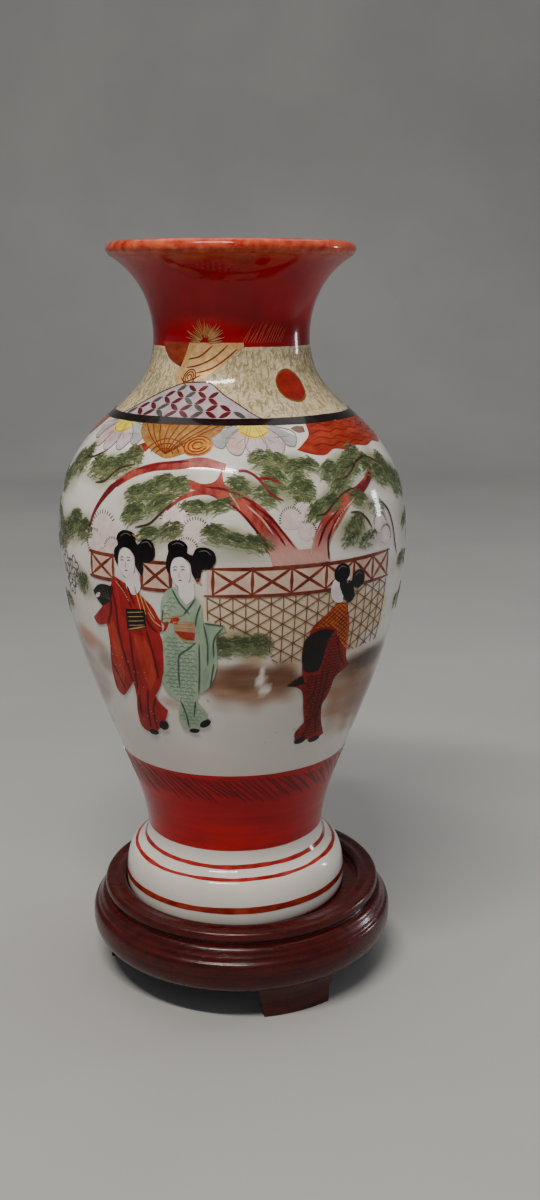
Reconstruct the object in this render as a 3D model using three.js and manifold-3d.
// A wide-mouthed porcelain vase standing in the recess of its turned wooden stand.
// Millimetres, +Z up. The vase's axis is the Z axis and the feet of the stand rest on z = 0.
import * as THREE from 'three';
import { mergeVertices } from 'three/addons/utils/BufferGeometryUtils.js';
import Module from 'manifold-3d';

const wasm = await Module();
wasm.setup();

// ---- Vase: driving dimensions ----
const bellyRadius = 62.0;
const waistRadius = 33.0;
const neckRadius = 27.2;
const lipRadius = 42.9;
const footRadius = 41.7; // the widest part of the foot's bulge
const footRise = 24.3; // underside of the foot up to the waist
const bodyRise = 112.4; // waist up to the belly's widest level
const shoulderRise = 68.4; // belly up to the narrowest level of the neck
const mouthRise = 31.6; // neck up to the top of the lip
const lipBeadRadius = 2.4; // the rounded bead along the mouth
const wall = 3.6;
const floorThickness = 7.0;
const footRecessDepth = 5.5; // hollow under the foot
const footRimWidth = 4.6; // flat ring that the vase stands on
const footCollarRadius = 36.8; // where the bulge of the foot meets the stem
const footCollarRise = 17.4;
const footEdgeInset = 0.7; // how far the foot's lower edge stays inside the bulge

// Handles of the long curves: how far each curve keeps its direction at a station
const waistPull = 24.5;
const bellyLowerPull = 47.7;
const bellyUpperPull = 46.0;
const neckLowerPull = 28.7;
const neckUpperPull = 19.0;
const lipPull = 2.0;
const lipSlopeAngle = THREE.MathUtils.degToRad(60); // where the flare runs into the bead

// ---- Stand: driving dimensions ----
const seatPlay = 2.9; // radial room round the foot of the vase in the recess
const seatGap = 0.3; // between the vase and the floor it rests on
const sideGap = 0.5; // on the side where the vase nearly touches the recess
const recessDepth = 4.0;
const recessFloorThickness = 10.0;
const plateThickness = 21.5; // underside of the plate to the crest of its rim
const rimWidth = 8.1; // recess wall out to the rim's outer face
const rimHeight = 4.6; // crest of the rim down to the cove
const coveDepth = 1.5;
const shoulderWidth = 2.6; // rim's outer face out to the edge of the shoulder
const shoulderDrop = 4.6;
const torusBulge = 4.4; // how far the lower moulding stands out past the rim
const footSeatInset = 3.0; // underside's edge, inside the widest line of the moulding
const underHollowMargin = 18.0; // moulding's widest line in to the hollow underneath

// ---- Feet of the stand and their pins: driving dimensions ----
const footCount = 3;
const firstFootAngle = THREE.MathUtils.degToRad(-67); // the foot at the front right
const standFootHeight = 12.2;
const standFootSpan = THREE.MathUtils.degToRad(35); // at the top, where it is glued on
const standFootTaper = THREE.MathUtils.degToRad(6); // narrower at the table by this much
const standFootDepth = 9.0;
const standFootEdgeInset = 1.8; // foot's outer top edge, inside the underside's edge
const standFootWaist = 2.2; // hollow of the foot's outer face
const glueGap = 0.3;
const pinRadius = 1.6;
const pinClearance = 0.3;
const pinLength = 12.0;
const pinSpacing = THREE.MathUtils.degToRad(14);
const pinEndGap = 0.5;

// ---- Fineness of the solids ----
const turns = 54; // facets round a turned piece
const curveSteps = 8;
const holeSides = 14;
const footSteps = 8;

// ---- Worked out from the dimensions above ----
const plateBottom = standFootHeight + glueGap;
const rimTop = plateBottom + plateThickness;
const recessFloor = rimTop - recessDepth;
const vaseBase = recessFloor + seatGap;
const waistLevel = vaseBase + footRise;
const bellyLevel = waistLevel + bodyRise;
const neckLevel = bellyLevel + shoulderRise;
const lipTop = neckLevel + mouthRise;
const recessRadius = footRadius + seatPlay;
const rimRadius = recessRadius + rimWidth;
const torusRadius = rimRadius + torusBulge;
const underRadius = torusRadius - footSeatInset;
const hollowRadius = torusRadius - underHollowMargin;
const standShift = seatPlay - sideGap; // the vase stands against the recess's left side
const standFootOuter = underRadius - standFootEdgeInset;
const pinCircle = standFootOuter - standFootDepth / 2;

const porcelain = new THREE.MeshStandardMaterial({ color: 0xe6e2d8, roughness: 0.12, metalness: 0 });
const rosewood = new THREE.MeshStandardMaterial({ color: 0x4a1d16, roughness: 0.3, metalness: 0 });
const pinWood = new THREE.MeshStandardMaterial({ color: 0xb08a5c, roughness: 0.6, metalness: 0 });

const point = (x, y) => new THREE.Vector2(x, y);

// ---- Turned pieces ----

// The outside of the vase from its waist to the bead of the lip, as three curves that meet
// upright at the belly and at the neck.
function vaseOutsideCurves() {
  const beadCentre = point(lipRadius - lipBeadRadius, lipTop - lipBeadRadius);
  const slope = point(Math.sin(lipSlopeAngle), Math.cos(lipSlopeAngle));
  const lipEnd = point(beadCentre.x + lipBeadRadius * slope.y, beadCentre.y - lipBeadRadius * slope.x);
  const waistToBelly = new THREE.CubicBezierCurve(
    point(waistRadius, waistLevel),
    point(waistRadius, waistLevel + waistPull),
    point(bellyRadius, bellyLevel - bellyLowerPull),
    point(bellyRadius, bellyLevel),
  );
  const bellyToNeck = new THREE.CubicBezierCurve(
    point(bellyRadius, bellyLevel),
    point(bellyRadius, bellyLevel + bellyUpperPull),
    point(neckRadius, neckLevel - neckLowerPull),
    point(neckRadius, neckLevel),
  );
  const neckToLip = new THREE.CubicBezierCurve(
    point(neckRadius, neckLevel),
    point(neckRadius, neckLevel + neckUpperPull),
    point(lipEnd.x - lipPull * slope.x, lipEnd.y - lipPull * slope.y),
    lipEnd,
  );
  return [waistToBelly, bellyToNeck, neckToLip];
}

// Points beside a curve that runs upward, a distance nearer the axis.
function pointsInside(curve, distance, steps, lastStep) {
  const points = [];
  for (let i = 0; i <= lastStep; i++) {
    const at = curve.getPoint(i / steps);
    const along = curve.getTangent(i / steps);
    points.push(point(at.x - along.y * distance, at.y + along.x * distance));
  }
  return points;
}

// The outside of the foot, from the edge it stands on up to the waist.
function vaseFootOutside() {
  const outside = new THREE.Path();
  const bottom = footRadius - footEdgeInset;
  outside.moveTo(bottom, vaseBase);
  outside.lineTo(bottom + footEdgeInset / 2, vaseBase + 1);
  outside.bezierCurveTo(
    footRadius + 0.4, vaseBase + footCollarRise * 0.5,
    footRadius - 0.7, vaseBase + footCollarRise - 1,
    footCollarRadius, vaseBase + footCollarRise,
  );
  outside.bezierCurveTo(
    footCollarRadius - 2.4, vaseBase + footCollarRise + 1.4,
    waistRadius, waistLevel - 3,
    waistRadius, waistLevel,
  );
  return outside.getPoints(curveSteps - 3);
}

function vaseProfile() {
  const [waistToBelly, bellyToNeck, neckToLip] = vaseOutsideCurves();
  const profile = [point(0, vaseBase + footRecessDepth)];
  const rimInside = footRadius - footEdgeInset - footRimWidth;
  profile.push(point(rimInside - 2, vaseBase + footRecessDepth));
  profile.push(point(rimInside, vaseBase + 1));
  profile.push(point(rimInside + 0.4, vaseBase));
  profile.push(...vaseFootOutside());
  for (const curve of [waistToBelly, bellyToNeck, neckToLip]) {
    profile.push(...curve.getPoints(curveSteps).slice(1));
  }
  const beadCentre = point(lipRadius - lipBeadRadius, lipTop - lipBeadRadius);
  for (let i = 1; i <= 6; i++) {
    const angle = lipSlopeAngle - Math.PI / 2 + (i / 6) * THREE.MathUtils.degToRad(160);
    profile.push(point(
      beadCentre.x + lipBeadRadius * Math.cos(angle),
      beadCentre.y + lipBeadRadius * Math.sin(angle),
    ));
  }
  const inside = [
    ...pointsInside(waistToBelly, wall, 6, 5),
    ...pointsInside(bellyToNeck, wall, 7, 6),
    ...pointsInside(neckToLip, wall, 7, 6),
  ];
  profile.push(...inside.reverse());
  const floorLevel = vaseBase + footRecessDepth + floorThickness;
  for (let i = 1; i < 5; i++) {
    const angle = (i / 5) * (Math.PI / 2);
    profile.push(point(
      (waistRadius - wall) * Math.cos(angle),
      waistLevel - (waistLevel - floorLevel) * Math.sin(angle),
    ));
  }
  profile.push(point(0, floorLevel));
  return profile;
}

// The turned plate, from the middle of its underside round to the middle of the recess.
function standProfile() {
  const shoulderTop = rimTop - rimHeight - 0.6;
  const shoulderEdge = rimRadius + shoulderWidth;
  const bellyOfTorus = plateBottom + (shoulderTop - shoulderDrop - plateBottom) * 0.6;
  const profile = new THREE.Path();
  profile.moveTo(0, recessFloor - recessFloorThickness);
  profile.lineTo(hollowRadius - 1.5, recessFloor - recessFloorThickness);
  profile.lineTo(hollowRadius, recessFloor - recessFloorThickness - 1.5);
  profile.lineTo(hollowRadius, plateBottom);
  profile.lineTo(underRadius, plateBottom);
  profile.quadraticCurveTo(torusRadius, plateBottom + 2.2, torusRadius, bellyOfTorus);
  profile.quadraticCurveTo(
    torusRadius, shoulderTop - shoulderDrop - 0.6,
    shoulderEdge + 0.7, shoulderTop - shoulderDrop,
  );
  profile.lineTo(shoulderEdge, shoulderTop - shoulderDrop + 0.3);
  profile.lineTo(shoulderEdge, shoulderTop - shoulderDrop + 1.2);
  profile.lineTo(shoulderEdge - 1.2, shoulderTop - shoulderDrop + 2.6);
  profile.lineTo(shoulderEdge - 1.4, shoulderTop - shoulderDrop + 3.2);
  profile.lineTo(rimRadius - 0.2, shoulderTop);
  profile.quadraticCurveTo(rimRadius - coveDepth, shoulderTop + 0.1, rimRadius - coveDepth, shoulderTop + 0.9);
  profile.lineTo(rimRadius - 0.5, shoulderTop + 1.5);
  profile.quadraticCurveTo(rimRadius + 0.1, rimTop - 1.6, rimRadius - 1.2, rimTop - 0.4);
  profile.lineTo(rimRadius - 2.4, rimTop - 0.4);
  profile.lineTo(recessRadius + 3.4, rimTop - 0.8);
  profile.quadraticCurveTo(recessRadius + 1.8, rimTop + 0.3, recessRadius + 0.8, rimTop - 0.3);
  profile.lineTo(recessRadius, rimTop - 1.2);
  profile.lineTo(recessRadius, recessFloor);
  profile.lineTo(0, recessFloor);
  return profile.getPoints(4);
}

// A closed solid of revolution about +Z from a profile of (radius, height) points that starts
// and ends on the axis.
function turned(profile, segments) {
  const geometry = new THREE.LatheGeometry(profile, segments);
  geometry.rotateX(Math.PI / 2);
  return positionsOnly(geometry);
}

// ---- Closed meshes and cuts ----

function positionsOnly(geometry) {
  const bare = geometry.clone();
  bare.deleteAttribute('normal');
  bare.deleteAttribute('uv');
  return mergeVertices(bare, 1e-4);
}

function toSolid(geometry) {
  const mesh = new wasm.Mesh({
    numProp: 3,
    vertProperties: Float32Array.from(geometry.attributes.position.array),
    triVerts: Uint32Array.from(geometry.index.array),
  });
  return new wasm.Manifold(mesh);
}

function toGeometry(solid) {
  const mesh = solid.getMesh();
  const geometry = new THREE.BufferGeometry();
  geometry.setAttribute('position', new THREE.BufferAttribute(mesh.vertProperties, 3));
  geometry.setIndex(new THREE.BufferAttribute(mesh.triVerts, 1));
  return geometry;
}

function uprightCylinder(radius, bottom, top, sides) {
  const geometry = new THREE.CylinderGeometry(radius, radius, top - bottom, sides);
  geometry.rotateX(Math.PI / 2);
  geometry.translate(0, 0, (bottom + top) / 2);
  return positionsOnly(geometry);
}

// Each pin stands half in its foot and half in the plate.
const pinBottom = plateBottom - glueGap / 2 - pinLength / 2;

function pinPlaces() {
  const places = [];
  for (let foot = 0; foot < footCount; foot++) {
    const middle = firstFootAngle + (foot * 2 * Math.PI) / footCount;
    for (const side of [-1, 1]) {
      const angle = middle + (side * pinSpacing) / 2;
      places.push({
        foot,
        side,
        x: standShift + pinCircle * Math.cos(angle),
        y: pinCircle * Math.sin(angle),
      });
    }
  }
  return places;
}

function withPinHoles(geometry, bottom, top, places) {
  let solid = toSolid(geometry);
  for (const place of places) {
    const hole = uprightCylinder(pinRadius + pinClearance, bottom, top, holeSides);
    hole.translate(place.x, place.y, 0);
    solid = solid.subtract(toSolid(hole));
  }
  return toGeometry(solid);
}

// ---- The pieces ----

function vaseBody() {
  return turned(vaseProfile(), turns);
}

function standPlate() {
  const plate = turned(standProfile(), turns);
  plate.translate(standShift, 0, 0);
  return withPinHoles(plate, plateBottom - 1, pinBottom + pinLength + pinEndGap, pinPlaces());
}

// One foot: a radial section carried along an arc under the plate. The arc is shorter at the
// table than at the top, so both ends lean inwards.
function standFoot(middle) {
  const section = [
    point(standFootOuter - standFootDepth, standFootHeight),
    point(standFootOuter - standFootDepth + 1.2, 0),
    point(standFootOuter - 1.3, 0),
    point(standFootOuter - standFootWaist * 0.7, standFootHeight * 0.16),
    point(standFootOuter - standFootWaist, standFootHeight * 0.42),
    point(standFootOuter - 0.9, standFootHeight * 0.78),
    point(standFootOuter, standFootHeight),
  ];
  const positions = [];
  const index = [];
  const sides = section.length;
  for (let step = 0; step <= footSteps; step++) {
    for (const corner of section) {
      const narrowing = standFootTaper * (1 - corner.y / standFootHeight);
      const angle = middle + (step / footSteps - 0.5) * (standFootSpan - narrowing);
      positions.push(
        standShift + corner.x * Math.cos(angle),
        corner.x * Math.sin(angle),
        corner.y,
      );
    }
  }
  for (let step = 0; step < footSteps; step++) {
    for (let i = 0; i < sides; i++) {
      const a = step * sides + i;
      const b = step * sides + ((i + 1) % sides);
      index.push(a, a + sides, b, b, a + sides, b + sides);
    }
  }
  const outline = THREE.ShapeUtils.triangulateShape(section, []);
  const last = footSteps * sides;
  for (const [a, b, c] of outline) {
    index.push(a, b, c, last + a, last + c, last + b);
  }
  const geometry = new THREE.BufferGeometry();
  geometry.setAttribute('position', new THREE.Float32BufferAttribute(positions, 3));
  geometry.setIndex(index);
  return geometry;
}

const vase = new THREE.Group();

function add(name, geometry, material) {
  const mesh = new THREE.Mesh(geometry, material);
  mesh.name = name;
  vase.add(mesh);
}

add('vase_body', vaseBody(), porcelain);
add('stand_plate', standPlate(), rosewood);
for (let foot = 0; foot < footCount; foot++) {
  const middle = firstFootAngle + (foot * 2 * Math.PI) / footCount;
  const places = pinPlaces().filter((place) => place.foot === foot);
  const drilled = withPinHoles(standFoot(middle), pinBottom - pinEndGap, standFootHeight + 1, places);
  add(`stand_foot_${foot + 1}`, drilled, rosewood);
  for (const place of places) {
    const pin = uprightCylinder(pinRadius, pinBottom, pinBottom + pinLength, holeSides);
    pin.translate(place.x, place.y, 0);
    add(`foot_pin_${foot + 1}${place.side < 0 ? 'a' : 'b'}`, pin, pinWood);
  }
}

export default vase;
